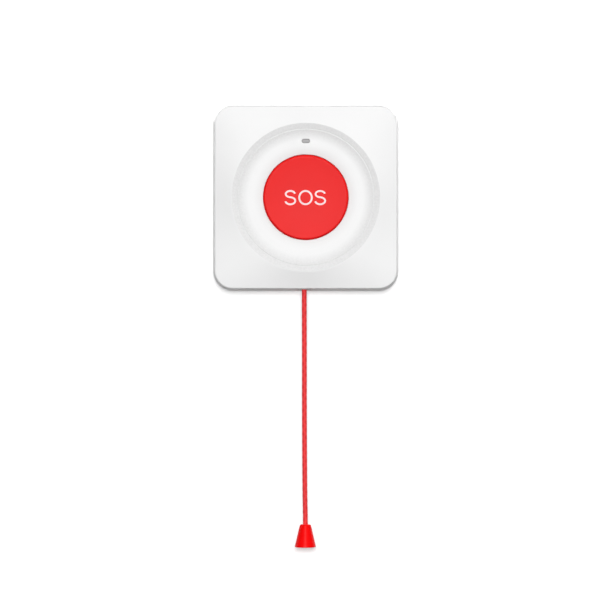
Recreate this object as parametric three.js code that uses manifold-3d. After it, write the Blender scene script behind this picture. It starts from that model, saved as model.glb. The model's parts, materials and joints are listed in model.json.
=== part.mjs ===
// Emergency pull cord alarm: a square wall unit with a round push button, a pull cord and a grip.
//
// Sizes are in millimetres. Every piece is drawn as it is seen from the front: x to the right,
// y up, and z out from the wall, which lies at z = 0. The function piece() turns it into the
// finished frame, where the wall is the plane Y = 0, -Y faces the room and +Z is up.

import * as THREE from "three";
import { mergeVertices } from "three/addons/utils/BufferGeometryUtils.js";
import Module from "manifold-3d";

const wasm = await Module();
wasm.setup();

// Clearances
const gap = 0.3; // between pieces that seat on or run past each other
const fineGap = 0.15; // round the window
const solder = 0.1; // between the board and what is soldered to it

// Case
const caseSize = 86; // width and height at the parting line
const caseCorner = 9.3; // corner radius at the parting line
const caseDepth = 24; // from the wall to the front rim
const caseWall = 2;
const wallStandoff = 0.6; // from the wall to the tray's rear edge
const partingDepth = 9; // where tray and cover meet
const sideDraft = 1; // how much the cover's side leans in on its way to the front
const edgeRound = 0.75; // rounding of the cover's front edge
const rearTaper = 0.5; // how much the tray's side leans in on its way to the wall
const lipHeight = 2; // the tray's lip above the parting line
const lipWall = 1.2;

// Front face of the cover, from its rim to the button's hole
const rimRadius = 34.2;
const faceDrop = 3; // fall from the rim to the square edge
const bandWidth = 2.7; // inward band inside the rim
const bandDrop = 0.6;
const grooveWidth = 0.3; // half the width of the fine groove at the band's foot
const grooveDepth = 0.2;
const ringRadius = 25.8; // where the dished ring is flat
const flankDrop = 0.8; // fall from the groove to the flat of the ring
const lipDrop = 0.7; // fall from the flat of the ring to the button's hole
const collarLength = 1.8; // depth of the button's hole

// Button
const buttonRadius = 19.4;
const buttonStand = 0.8; // how far the button's edge stands out of its hole
const buttonDish = 0.6;
const buttonWall = 1.8;
const buttonTravel = 0.8;
const flangeWidth = 1.1; // the button's flange behind the collar
const flangeThickness = 1;
const keyHeight = 3.5; // of the key switch under the button
const keyTravel = 0.5;
const keyPlay = 0.35; // from the button's boss to the key

// Window and indicator
const windowHeight = 25.9; // above the button's centre
const windowLength = 4.2;
const windowWidth = 2.3;
const pipeRim = 1; // how far the light pipe's flange stands out
const guideWall = 1.2; // of the frame that holds the flange

// Wall plate
const plateThickness = 2;
const plateGap = 0.6; // round the plate
const screwPitch = 60.3; // between the two slots for the wall screws
const slotWidth = 4;
const slotLength = 9;
const hookHeight = 5.4; // how far the case is lifted to clear the hooks
const hookWidth = 8;
const hookThickness = 2;
const hookLip = 1.4;
const hookInset = 23; // from the case's side to a hook's middle
const upperShelf = 19; // from the case's top to the shelf of an upper hook
const lowerShelf = 21; // from the case's bottom to the shelf of a lower hook
const liftTravel = 6;

// Tray
const floorThickness = 1.6;
const screwInset = 7.8; // from the case's side to a case screw
const screwReach = 8.6; // from a case screw's seat to its tip
const pilotDepth = 9.5;
const postRadius = 2.6;

// Battery
const cellRadius = 12.25;
const cellThickness = 5;
const doorRadius = 14.9;
const doorFlange = 0.8;
const lugWidth = 4.4;

// Circuit board
const boardDepth = 11; // from the wall to the board's rear face
const boardThickness = 1.6;
const boardMargin = 12; // from the case's sides and top to the board
const boardFootMargin = 6; // from the case's bottom to the board
const boardCorner = 2;
const postMargin = 3; // from the board's side to a post's middle
const postRise = 7; // from the board's foot to the middle of a lower post
const modulePlace = [-19, 3]; // middle of the radio module
const moduleSize = [16, 22];
const moduleThickness = 0.8;
const antennaLength = 5; // the module's upper end, which the shield leaves bare
const shieldMargin = 1;
const shieldHeight = 1.5;
const capacitorPlace = [22.5, 14];
const capacitorRadius = 3.1;

// Pull cord, its slider and its switch
const cordX = -0.7;
const cordRadius = 1.15;
const cordHole = 1.5;
const pullTravel = 5;
const sliderWidth = 10;
const sliderLength = 8;
const sliderPlay = 0.8; // from the button's flange to the slider
const keelWidth = 3;
const channelWall = 1.5;
const bushingRadius = 2.7;
const bushingRim = 0.6; // how far the bushing's flange stands out
const knotRadius = 2.1;
const gripKnotRadius = 1.75;
const leverAngle = 7; // turn of the switch lever over the whole pull, in degrees
const leverLength = 9; // from its pivot to its nose
const leverX = 10.9;
const camReach = 9.4; // from the middle to the far side of the slider's ramp
const switchLength = 12.8;
const switchWidth = 6.5;
const switchHeight = 4;

// Grip
const gripTop = -150.9;
const gripHeight = 10.5;
const gripTopRadius = 2.55;
const gripRadius = 4.9;
const gripWall = 1.2;

// Springs
const buttonSpringRadius = 7;
const buttonWire = 0.7;
const pullSpringRadius = 2.5;
const pullWire = 0.6;

// The cord from the slider's knot to the grip's knot: x, height and distance from the wall.
// It is straight where it runs through the case, so that it can be pulled.
const cordPoints = [
  [-0.7, -28, 15.6],
  [-0.7, -36, 15.6],
  [-0.7, -44, 15.6],
  [-0.67, -56, 15.6],
  [-0.63, -76, 15.65],
  [-0.62, -98, 15.7],
  [-0.52, -120, 15.7],
  [-0.36, -138, 15.65],
  [-0.2, -148, 15.6],
  [-0.2, -153.3, 15.6],
];
const gripX = -0.2;

// Levels worked out from the sizes above, as distances from the wall
const half = caseSize / 2;
const floorBack = plateThickness + gap;
const floorFront = floorBack + floorThickness;
const boardFront = boardDepth + boardThickness;
const edgeZ = caseDepth - faceDrop;
const creaseRadius = rimRadius - bandWidth;
const creaseZ = caseDepth - bandDrop;
const ringZ = creaseZ - flankDrop;
const holeRadius = buttonRadius + gap;
const holeZ = ringZ - lipDrop;
const collarZ = holeZ - collarLength;
const coverBack = partingDepth + gap;
const buttonZ = holeZ + buttonStand;
const ceilingZ = buttonZ - buttonDish - buttonWall;
const flangeZ = collarZ - gap;
const flangeRadius = holeRadius + flangeWidth;
const cordDepth = edgeZ - caseWall - bushingRadius - bushingRim - 0.1;
const channelTop = cordDepth - pullSpringRadius - pullWire / 2 - 0.2;
const sliderRear = channelTop + gap;
const sliderFront = 2 * cordDepth - sliderRear;
const sliderTop = -flangeRadius - sliderPlay;
const sliderBottom = sliderTop - sliderLength;
const camTop = -Math.sqrt((flangeRadius + gap) ** 2 - camReach ** 2);
const leverFoot = camTop - 0.6 - pullTravel - leverLength;
const screwXY = half - screwInset;
const hookX = half - hookInset;
const hookShelves = [half - upperShelf, -half + lowerShelf];
const boardX = half - boardMargin;
const boardTop = half - boardMargin;
const boardBottom = -half + boardFootMargin;
const keyTop = boardFront + keyHeight;
const bushingFlange = -half + caseWall + sideDraft + edgeRound + gap / 2;

// Looks: colour, roughness and metalness
const whitePlastic = [0xf1f1f0, 0.45, 0];
const redPlastic = [0xe02427, 0.35, 0];
const redCord = [0xd83437, 0.8, 0];
const greyWindow = [0xadabac, 0.3, 0];
const blackPlastic = [0x1d1d1f, 0.5, 0];
const naturalPlastic = [0xe9e4d6, 0.5, 0];
const greenBoard = [0x1f6b3d, 0.5, 0];
const steel = [0xb9bcc0, 0.3, 1];
const gold = [0xd8b25a, 0.35, 1];

const alarm = new THREE.Group();
alarm.name = "emergency_pull_cord_alarm";

// Six times the volume that a mesh's triangles enclose, negative if they face inwards
function signedVolume(positions, index) {
  const corners = [new THREE.Vector3(), new THREE.Vector3(), new THREE.Vector3()];
  let sum = 0;
  for (let i = 0; i < index.length; i += 3) {
    corners.forEach((corner, k) => corner.fromArray(positions, index[i + k] * 3));
    sum += corners[0].dot(corners[1].cross(corners[2]));
  }
  return sum;
}

// A solid from a closed geometry, with its faces outwards
function solid(geometry) {
  const bare = new THREE.BufferGeometry();
  bare.setAttribute("position", geometry.getAttribute("position"));
  bare.setIndex(geometry.getIndex());
  const merged = mergeVertices(bare, 1e-4);
  const positions = new Float32Array(merged.getAttribute("position").array);
  const index = [];
  const all = merged.getIndex().array;
  for (let i = 0; i < all.length; i += 3) {
    const [a, b, c] = [all[i], all[i + 1], all[i + 2]];
    if (a !== b && b !== c && c !== a) {
      index.push(a, b, c);
    }
  }
  if (signedVolume(positions, index) < 0) {
    index.reverse();
  }
  const triVerts = new Uint32Array(index);
  return new wasm.Manifold(new wasm.Mesh({ numProp: 3, vertProperties: positions, triVerts }));
}

// Adds a finished piece to the alarm, turned from the front view into the finished frame
function piece(name, body, [colour, roughness, metalness]) {
  const mesh = body.getMesh();
  const geometry = new THREE.BufferGeometry();
  geometry.setAttribute("position", new THREE.BufferAttribute(mesh.vertProperties, 3));
  geometry.setIndex(new THREE.BufferAttribute(mesh.triVerts, 1));
  geometry.rotateX(Math.PI / 2);
  geometry.computeVertexNormals();
  const material = new THREE.MeshStandardMaterial({ color: colour, roughness, metalness });
  const node = new THREE.Mesh(geometry, material);
  node.name = name;
  alarm.add(node);
}

function joined(bodies) {
  return bodies.reduce((whole, body) => whole.add(body));
}

function cut(body, tools) {
  return tools.reduce((rest, tool) => rest.subtract(tool), body);
}

// A flat shape raised from one level to another
function raised(shape, from, to, curveSegments = 8) {
  const settings = { depth: to - from, bevelEnabled: false, curveSegments };
  return solid(new THREE.ExtrudeGeometry(shape, settings).translate(0, 0, from));
}

function box(x0, x1, y0, y1, z0, z1) {
  const geometry = new THREE.BoxGeometry(x1 - x0, y1 - y0, z1 - z0);
  return solid(geometry.translate((x0 + x1) / 2, (y0 + y1) / 2, (z0 + z1) / 2));
}

// A round bar that stands on the wall side: centre, radius, and the levels of its two ends
function bar(x, y, radius, from, to, segments = 20) {
  const geometry = new THREE.CylinderGeometry(radius, radius, to - from, segments);
  return solid(geometry.rotateX(Math.PI / 2).translate(x, y, (from + to) / 2));
}

// A profile of [radius, level] pairs turned about an axis that stands on the wall
function turned(profile, segments, x = 0, y = 0) {
  const points = profile.map(([radius, level]) => new THREE.Vector2(radius, level));
  return solid(new THREE.LatheGeometry(points, segments).rotateX(Math.PI / 2).translate(x, y, 0));
}

// A profile of [radius, height] pairs turned about the cord
function turnedOnCord(profile, segments, x = cordX) {
  const points = profile.map(([radius, height]) => new THREE.Vector2(radius, height));
  return solid(new THREE.LatheGeometry(points, segments).translate(x, 0, cordDepth));
}

function roundedRect(x0, x1, y0, y1, radius) {
  const shape = new THREE.Shape();
  shape.moveTo(x0 + radius, y0);
  shape.absarc(x1 - radius, y0 + radius, radius, -Math.PI / 2, 0);
  shape.absarc(x1 - radius, y1 - radius, radius, 0, Math.PI / 2);
  shape.absarc(x0 + radius, y1 - radius, radius, Math.PI / 2, Math.PI);
  shape.absarc(x0 + radius, y0 + radius, radius, Math.PI, Math.PI * 1.5);
  return shape;
}

// An oblong with round ends, lying along x
function oblong(length, width, x = 0, y = 0) {
  const shape = new THREE.Shape();
  const reach = (length - width) / 2;
  shape.absarc(x + reach, y, width / 2, -Math.PI / 2, Math.PI / 2);
  shape.absarc(x - reach, y, width / 2, Math.PI / 2, Math.PI * 1.5);
  return shape;
}

function wire(curve, radius, sides, steps) {
  const section = new THREE.Shape();
  section.setFromPoints(
    Array.from({ length: sides }, (_, i) => {
      const angle = (i / sides) * Math.PI * 2;
      return new THREE.Vector2(Math.cos(angle) * radius, Math.sin(angle) * radius);
    }),
  );
  return solid(new THREE.ExtrudeGeometry(section, { steps, extrudePath: curve, bevelEnabled: false }));
}

// A coil whose first and last turns lie flat, between two places on its axis
class Coil extends THREE.Curve {
  constructor(place, radius, from, to, turns, flatPitch) {
    super();
    Object.assign(this, { place, radius, from, to, turns, flatPitch });
  }

  getPoint(t, target = new THREE.Vector3()) {
    const angle = t * this.turns * Math.PI * 2;
    const turn = t * this.turns;
    const flat = Math.min(turn, 1) + Math.max(turn - this.turns + 1, 0);
    const open = Math.min(Math.max(turn - 1, 0), this.turns - 2);
    const pitch = (this.to - this.from - 2 * this.flatPitch) / (this.turns - 2);
    const level = this.from + flat * this.flatPitch + open * pitch;
    const [across, up] = [Math.cos(angle) * this.radius, Math.sin(angle) * this.radius];
    return target.copy(this.place(across, up, level));
  }
}

// Angles at which every ring of the case is cut: evenly along the sides, and finely round the corners
const sideSteps = 8;
const cornerSteps = 5;

// One ring of the case's rounded square, drawn in from the parting line's outline
function square(inset, z) {
  const reach = half - caseCorner;
  const radius = caseCorner - inset;
  const side = Math.atan(reach / half);
  const points = [];
  for (let quarter = 0; quarter < 4; quarter += 1) {
    const turn = (quarter * Math.PI) / 2;
    const add = (x, y) => points.push(new THREE.Vector3(x, y, z).applyAxisAngle(outward, turn));
    for (let i = 0; i < sideSteps; i += 1) {
      const angle = side * ((2 * i) / sideSteps - 1);
      add(half - inset, (Math.tan(angle) / Math.tan(side)) * reach);
    }
    for (let i = 0; i < cornerSteps; i += 1) {
      const angle = (i / cornerSteps) * (Math.PI / 2);
      add(reach + Math.cos(angle) * radius, reach + Math.sin(angle) * radius);
    }
  }
  return points;
}

// A round ring with its points at the same angles as those of the square ones
function round(radius, z) {
  return square(0, z).map((point) => point.setZ(0).setLength(radius).setZ(z));
}

const outward = new THREE.Vector3(0, 0, 1);

// A closed skin over rings that follow each other and meet again at the first
function lofted(rings) {
  const count = rings[0].length;
  const positions = rings.flat().flatMap((point) => point.toArray());
  const index = [];
  rings.forEach((_, j) => {
    const next = (j + 1) % rings.length;
    for (let i = 0; i < count; i += 1) {
      const k = (i + 1) % count;
      const [a, b, c, d] = [j * count + i, next * count + i, next * count + k, j * count + k];
      index.push(a, b, c, a, c, d);
    }
  });
  const geometry = new THREE.BufferGeometry();
  geometry.setAttribute("position", new THREE.Float32BufferAttribute(positions, 3));
  geometry.setIndex(index);
  return solid(geometry);
}

const corners = [
  [1, 1],
  [-1, 1],
  [-1, -1],
  [1, -1],
];

function wallPlate() {
  const side = half - caseWall - plateGap;
  const bottom = -side + liftTravel;
  const sheet = raised(roundedRect(-side, side, bottom, side, caseCorner - caseWall - plateGap), 0, plateThickness);
  const hooks = hookShelves.flatMap((shelf) =>
    [-hookX, hookX].map((x) => {
      const [left, right] = [x - hookWidth / 2, x + hookWidth / 2];
      const lipBack = floorFront + gap;
      const stem = box(left, right, shelf - hookThickness, shelf, plateThickness - 0.5, lipBack + hookLip);
      return stem.add(box(left, right, shelf - 0.5, shelf + hookHeight, lipBack, lipBack + hookLip));
    }),
  );
  const slots = [-1, 1].flatMap((end) =>
    [
      [slotLength, slotWidth, -1],
      [slotLength + slotWidth, slotWidth * 2, plateThickness - 0.9],
    ].map(([length, width, from]) => {
      const settings = { depth: plateThickness + 1 - from, bevelEnabled: false, curveSegments: 6 };
      const geometry = new THREE.ExtrudeGeometry(oblong(length, width), settings);
      return solid(geometry.rotateZ(Math.PI / 2).translate((end * screwPitch) / 2, 0, from));
    }),
  );
  return cut(joined([sheet, ...hooks]), slots);
}

// The tray's side wall, with the lip that fits into the cover
function trayWall() {
  const lipOut = caseWall + gap;
  const lipIn = lipOut + lipWall;
  return lofted([
    square(rearTaper + 0.4, wallStandoff),
    square(rearTaper, wallStandoff + 0.4),
    square(0, partingDepth),
    square(lipOut, partingDepth),
    square(lipOut, partingDepth + lipHeight - 0.4),
    square(lipOut + 0.4, partingDepth + lipHeight),
    square(lipIn, partingDepth + lipHeight),
    square(lipIn, floorBack),
    square(caseWall, floorBack),
    square(caseWall, wallStandoff),
  ]);
}

// The well in which a case screw's head sits
const wellFloor = floorBack + 2.7;
const wellTop = wellFloor + 1.5;

function backHousing() {
  const floorEdge = half - caseWall - gap;
  const floor = raised(roundedRect(-floorEdge, floorEdge, -floorEdge, floorEdge, 6.9), floorBack, floorFront);
  const wells = corners.map(([x, y]) => bar(x * screwXY, y * screwXY, 4.6, floorBack, wellTop, 16));
  const posts = boardPosts().map(([x, y]) => bar(x, y, postRadius, floorBack, boardDepth - gap, 16));
  const channel = sliderChannel();
  const tongue = box(
    cordX - bushingRadius,
    cordX + bushingRadius,
    -half + coverInset(partingDepth + 3),
    -half + caseWall + 0.4,
    partingDepth - 0.5,
    cordDepth - bushingRadius - gap,
  );
  const stiffeners = [-4, 4].map((y) =>
    cut(box(-half + 3, half - 3, y - 0.6, y + 0.6, floorBack, floorFront + 1.4), [
      box(-cellRadius - 6, cellRadius + 6, -half, half, floorFront, boardDepth),
    ]),
  );
  const whole = joined([trayWall(), floor, ...wells, ...posts, channel, tongue, ...stiffeners]);
  const slots = hookShelves.flatMap((shelf) =>
    [-hookX, hookX].map((x) => {
      const reach = hookWidth / 2 + gap;
      const bottom = shelf - hookThickness - liftTravel - 2 * gap;
      return box(x - reach, x + reach, bottom, shelf + gap, floorBack - 1, floorFront + 0.6);
    }),
  );
  const wellCuts = corners.flatMap(([x, y]) => [
    bar(x * screwXY, y * screwXY, 2.9, 0, wellFloor, 16),
    bar(x * screwXY, y * screwXY, 1.6, 0, wellTop + 1, 12),
  ]);
  const pilots = boardPosts().map(([x, y]) => bar(x, y, 1.4, floorFront + 1, boardDepth, 12));
  return cut(whole, [...slots, ...wellCuts, ...pilots, ...doorSeat()]);
}

function boardPosts() {
  const x = boardX - postMargin;
  const [top, bottom] = [boardTop - postMargin - 1, boardBottom + postRise];
  return [
    [-x, top],
    [x, top],
    [-x, bottom],
    [x, bottom],
  ];
}

// How far the cover's side has leaned in at a level
function coverInset(z) {
  return (sideDraft * (z - coverBack)) / (edgeZ - edgeRound - coverBack);
}

// The channel in which the slider's keel runs, with the stop that ends its way up
function sliderChannel() {
  const reach = keelWidth / 2 + gap + channelWall;
  const stop = sliderTop + gap;
  const block = box(cordX - reach, cordX + reach, -half + 4.4, stop + channelWall, floorBack, channelTop);
  const inner = reach - channelWall;
  return block.subtract(box(cordX - inner, cordX + inner, -half + 2, stop, floorFront + 2, channelTop + 1));
}

// The battery opening: a seat for the door's flange and notches for its three lugs
const doorPlug = doorRadius - 1.9;
const lugs = [0, 1, 2].map((i) => (i * Math.PI * 2) / 3 + Math.PI / 2);

function doorSeat() {
  const seat = bar(0, 0, doorRadius + gap, floorBack - 1, floorBack + doorFlange + gap, 28);
  const hole = bar(0, 0, doorPlug + gap, 0, floorFront + 1, 28);
  const notches = lugs.map((angle) => {
    const geometry = new THREE.BoxGeometry(lugWidth + 2 * gap, 4.4, 8);
    geometry.translate(0, doorPlug - 0.6, 0).rotateZ(angle - Math.PI / 2 + 0.5);
    return solid(geometry.translate(0, 0, floorFront));
  });
  return [seat, hole, ...notches];
}

function batteryDoor() {
  const plugTop = floorFront + gap;
  const disc = turned(
    [
      [0, floorBack + 0.2],
      [doorRadius - 0.3, floorBack + 0.2],
      [doorRadius, floorBack + 0.5],
      [doorRadius, floorBack + doorFlange],
      [doorPlug, floorBack + doorFlange],
      [doorPlug, plugTop + 0.8],
      [doorPlug - 1.2, plugTop + 0.8],
      [doorPlug - 1.2, plugTop - 0.4],
      [0, plugTop - 0.4],
    ],
    28,
  );
  const lugBars = lugs.map((angle) => {
    const geometry = new THREE.BoxGeometry(4.4, 2.4, 0.8);
    geometry.translate(0, doorPlug, 0).rotateZ(angle - Math.PI / 2);
    return solid(geometry.translate(0, 0, plugTop + 0.4));
  });
  const coinSlot = box(-7, 7, -0.9, 0.9, 0, floorBack + 1);
  return cut(joined([disc, ...lugBars]), [coinSlot]);
}

// The rings of the cover's skin, from the rear of the button's hole over the front,
// round the square edge and back along the inside
function coverRings() {
  const rings = [round(holeRadius, collarZ), round(holeRadius, holeZ - 0.25)];
  const lipEdge = holeRadius + 0.25;
  for (let i = 0; i <= 3; i += 1) {
    const radius = lipEdge + ((ringRadius - lipEdge) * i) / 3;
    rings.push(round(radius, ringZ - lipDrop * (1 - i / 3) ** 2));
  }
  const flankWidth = creaseRadius - grooveWidth - ringRadius;
  for (let i = 1; i <= 3; i += 1) {
    rings.push(round(ringRadius + (flankWidth * i) / 3, ringZ + flankDrop * (i / 3) ** 2));
  }
  rings.push(
    round(creaseRadius, creaseZ - grooveDepth),
    round(creaseRadius + grooveWidth, creaseZ),
    round(rimRadius, caseDepth),
    square(sideDraft + edgeRound, edgeZ),
    square(sideDraft + edgeRound * 0.3, edgeZ - edgeRound * 0.3),
    square(sideDraft, edgeZ - edgeRound),
    square(0, coverBack),
    square(caseWall, coverBack),
    square(caseWall + sideDraft, edgeZ - caseWall - edgeRound),
    square(caseWall + sideDraft + edgeRound, edgeZ - caseWall),
    round(rimRadius - 1, caseDepth - caseWall),
    round(creaseRadius, creaseZ - caseWall),
    round(ringRadius, ringZ - caseWall),
    round(ringRadius - 2.8, ringZ - caseWall),
    round(holeRadius + 1.4, collarZ),
  );
  return rings;
}

// Level of the cover's inner face over the ring, just outside the button's collar
const innerZ = ringZ - caseWall;

function frontCover() {
  const bosses = corners.map(([x, y]) => bar(x * screwXY, y * screwXY, 3.2, wellTop + gap, edgeZ - 0.6, 16));
  const runners = [-1, 1].map((side) => {
    const x = cordX + (side * sliderWidth) / 2 - side * 0.8;
    const inner = sliderBottom - pullTravel;
    return box(x - 0.6, x + 0.6, inner, sliderTop - 1.5, sliderFront + gap, innerZ + 0.4);
  });
  const frame = pipeFlange(gap + guideWall);
  const pipeGuide = raised(frame, innerZ - 1.6, innerZ + 0.4, 4);
  const whole = joined([lofted(coverRings()), ...bosses, ...runners, pipeGuide]);
  const pilots = corners.map(([x, y]) => bar(x * screwXY, y * screwXY, 1.55, wellTop, wellTop + pilotDepth, 12));
  const hole = raised(oblong(windowLength, windowWidth, 0, windowHeight), 0, caseDepth, 5);
  const guideCut = raised(pipeFlange(gap), 0, innerZ, 4);
  const reach = bushingRadius + gap;
  const cordSlot = joined([
    box(cordX - reach, cordX + reach, -half - 1, -half + caseWall + 2, 0, cordDepth),
    turnedOnCord(
      [
        [0, -half - 1],
        [reach, -half - 1],
        [reach, -half + caseWall + 2],
        [0, -half + caseWall + 2],
      ],
      24,
    ),
  ]);
  return cut(whole, [...pilots, hole, guideCut, cordSlot]);
}

function sosButton() {
  const profile = [[0, buttonZ - buttonDish]];
  for (let i = 1; i <= 4; i += 1) {
    const share = i / 4;
    profile.push([(buttonRadius - 0.7) * share, buttonZ - buttonDish * (1 - share ** 2)]);
  }
  const skirt = buttonRadius - buttonWall;
  profile.push(
    [buttonRadius - 0.2, buttonZ - 0.2],
    [buttonRadius, buttonZ - 0.7],
    [buttonRadius, flangeZ],
    [flangeRadius, flangeZ],
    [flangeRadius, flangeZ - flangeThickness],
    [skirt, flangeZ - flangeThickness],
    [skirt, ceilingZ],
    [buttonSpringRadius - 0.8, ceilingZ],
    [buttonSpringRadius - 0.8, flangeZ - flangeThickness],
    [buttonSpringRadius - 1.5, flangeZ - flangeThickness],
    [buttonSpringRadius - 1.5, ceilingZ],
    [2.2, ceilingZ],
    [2, keyTop + keyPlay],
    [0, keyTop + keyPlay],
  );
  return turned(profile, 40);
}

function buttonSpring() {
  const place = (across, up, level) => new THREE.Vector3(across, up, level);
  const from = boardFront + gap + buttonWire / 2;
  const to = ceilingZ - gap - buttonWire / 2;
  return wire(new Coil(place, buttonSpringRadius, from, to, 4, buttonWire + 0.1), buttonWire / 2, 6, 52);
}

function lightPipe() {
  const foot = boardFront + solder + 1.6;
  const length = windowLength - 2 * fineGap;
  const width = windowWidth - 2 * fineGap;
  const stem = raised(oblong(length, width, 0, windowHeight), foot, ringZ - 0.1, 5);
  return stem.add(raised(pipeFlange(0), innerZ - 1.5, innerZ - gap, 4));
}

// Outline of the light pipe's flange, grown by an allowance
function pipeFlange(allowance) {
  const extra = 2 * (pipeRim + allowance);
  return oblong(windowLength + extra, windowWidth + extra, 0, windowHeight);
}

function circuitBoard() {
  const shape = roundedRect(-boardX, boardX, boardBottom, boardTop, boardCorner);
  const sheet = raised(shape, boardDepth, boardFront, 4);
  const notch = sliderWidth / 2 + 2 * gap;
  const notchTop = sliderTop + 2 * gap + channelWall;
  const holes = boardPosts().map(([x, y]) => bar(x, y, 1.5, 0, boardFront + 1, 12));
  return cut(sheet, [box(cordX - notch, cordX + notch, -half, notchTop, 0, boardFront + 1), ...holes]);
}

function keySwitch() {
  const body = box(-3.1, 3.1, -3.1, 3.1, boardFront + solder, keyTop - 1.2);
  return body.subtract(bar(0, 0, 2, keyTop - 2.1 - keyTravel, keyTop));
}

function keyPlunger() {
  return bar(0, 0, 1.7, keyTop - 1.9, keyTop, 16);
}

// The snap switch lies beside the slider, with its plunger towards the lever
const switchFace = leverX + 0.7;
const switchBottom = leverFoot - 2;
const plungerY = leverFoot + leverLength / 2;
const switchBack = boardFront + solder;
const switchFront = switchBack + switchHeight;
const switchMiddle = (switchBack + switchFront) / 2;
const leverLean = (leverAngle * Math.PI) / 180;

function pullSwitch() {
  const [top, right] = [switchBottom + switchLength, switchFace + switchWidth];
  const body = box(switchFace, right, switchBottom, top, switchBack, switchFront);
  const ears = [-1, 1].map((side) => {
    const z = switchMiddle + side * (switchHeight / 2 - 0.3);
    return box(leverX - 1, switchFace + 0.2, leverFoot - 1.2, leverFoot + 1, z - 0.3, z + 0.3);
  });
  const [low, high] = [switchMiddle - 1.3, switchMiddle + 1.3];
  const bore = box(switchFace - 1, switchFace + 2.4, plungerY - 1.3, plungerY + 1.3, low, high);
  return joined([body, ...ears]).subtract(bore);
}

function pullSwitchPlunger() {
  const tip = leverX - Math.tan(leverLean) * (plungerY - leverFoot) + 0.25 + 0.2;
  return box(tip, switchFace + 1.6, plungerY - 1, plungerY + 1, switchMiddle - 1, switchMiddle + 1);
}

// A sprung strip that leans towards the slider and ends in a round nose
function pullSwitchLever() {
  const width = switchHeight - 1.8;
  const strip = new THREE.BoxGeometry(0.5, leverLength, width).translate(0, leverLength / 2, 0);
  const nose = new THREE.CylinderGeometry(0.9, 0.9, width, 14).rotateX(Math.PI / 2);
  const foot = new THREE.CylinderGeometry(0.6, 0.6, width, 12).rotateX(Math.PI / 2);
  const parts = [strip, nose.translate(-0.3, leverLength, 0), foot].map((geometry) =>
    solid(geometry.rotateZ(leverLean).translate(leverX, leverFoot, switchMiddle)),
  );
  return joined(parts);
}

// Where the lever's nose is at rest
const noseX = leverX - Math.sin(leverLean) * leverLength - Math.cos(leverLean) * 0.3;
const noseY = leverFoot + Math.cos(leverLean) * leverLength - Math.sin(leverLean) * 0.3;

function pullSlider() {
  const [left, right] = [cordX - sliderWidth / 2, cordX + sliderWidth / 2];
  const body = raised(roundedRect(left, right, sliderBottom, sliderTop, 1), sliderRear, sliderFront, 3);
  const keel = box(
    cordX - keelWidth / 2,
    cordX + keelWidth / 2,
    sliderBottom,
    sliderTop,
    floorFront + 2.6,
    sliderRear + 1,
  );
  const rise = Math.sin(leverLean) * leverLength;
  const start = noseX - 0.9 - gap;
  const ramp = new THREE.Shape();
  ramp.moveTo(right - 1, noseY - 1.2);
  ramp.lineTo(start - 0.4, noseY - 1.2);
  ramp.lineTo(start, noseY);
  ramp.lineTo(start + rise, noseY + pullTravel);
  ramp.lineTo(start + rise, noseY + pullTravel + 0.6);
  ramp.lineTo(right - 1, sliderTop);
  const camFront = flangeZ - flangeThickness - buttonTravel - gap;
  const cam = raised(ramp, switchBack + 0.4, camFront);
  const pocket = turnedOnCord(
    [
      [0, sliderBottom + 1.6],
      [knotRadius + 0.4, sliderBottom + 1.6],
      [knotRadius + 0.4, sliderTop - 1.6],
      [0, sliderTop - 1.6],
    ],
    16,
  );
  const mouth = knotRadius + 0.4;
  return cut(joined([body, keel, cam]), [
    pocket,
    box(cordX - mouth, cordX + mouth, sliderBottom + 1.6, sliderTop - 1.6, cordDepth, sliderFront + 1),
    box(cordX - cordHole, cordX + cordHole, sliderBottom - 1, sliderBottom + 3, cordDepth, sliderFront + 1),
    cordBore(),
  ]);
}

function cordBore() {
  return turnedOnCord(
    [
      [0, sliderBottom - 1],
      [cordHole, sliderBottom - 1],
      [cordHole, sliderBottom + 3],
      [0, sliderBottom + 3],
    ],
    16,
  );
}

function pullSpring() {
  const place = (across, up, level) => new THREE.Vector3(cordX + across, level, cordDepth + up);
  const from = bushingFlange + 0.8 + gap + pullWire / 2;
  const to = sliderBottom - gap - pullWire / 2;
  return wire(new Coil(place, pullSpringRadius, from, to, 5, pullWire + 0.05), pullWire / 2, 6, 50);
}

function cordBushing() {
  const outer = -half + coverInset(cordDepth) + 0.25;
  return turnedOnCord(
    [
      [cordHole + 0.4, outer],
      [bushingRadius, outer],
      [bushingRadius, bushingFlange],
      [bushingRadius + bushingRim, bushingFlange],
      [bushingRadius + bushingRim, bushingFlange + 0.8],
      [cordHole + 0.3, bushingFlange + 0.8],
      [cordHole, bushingFlange + 0.5],
      [cordHole, outer + 0.4],
      [cordHole + 0.4, outer],
    ],
    18,
  );
}

function pullCord() {
  const curve = new THREE.CatmullRomCurve3(cordPoints.map(([x, y, z]) => new THREE.Vector3(x, y, z)));
  return wire(curve, cordRadius, 8, 26);
}

// A knot drawn tight: a thick turn with a smaller one under it
function knot(x, middle, radius) {
  const profile = [
    [0, -1],
    [0.45, -0.95],
    [0.8, -0.7],
    [0.86, -0.35],
    [0.82, -0.1],
    [0.98, 0.2],
    [0.94, 0.55],
    [0.6, 0.9],
    [0, 1],
  ].map(([r, y]) => [r * radius, middle + y * radius]);
  return turnedOnCord(profile, 12, x);
}

function cordGrip() {
  const bottom = gripTop - gripHeight;
  const roof = gripTop - 1.6;
  const inner = (height) => {
    const share = (gripTop - height) / gripHeight;
    return gripTopRadius + (gripRadius - gripTopRadius) * share - gripWall;
  };
  return turnedOnCord(
    [
      [cordHole, gripTop],
      [gripTopRadius - 0.3, gripTop],
      [gripTopRadius, gripTop - 0.3],
      [gripRadius, bottom + 0.5],
      [gripRadius - 0.15, bottom + 0.1],
      [gripRadius - 0.4, bottom],
      [inner(bottom), bottom],
      [inner(roof - 1), roof - 1],
      [cordHole, roof],
      [cordHole, gripTop],
    ],
    24,
    gripX,
  );
}

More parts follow.
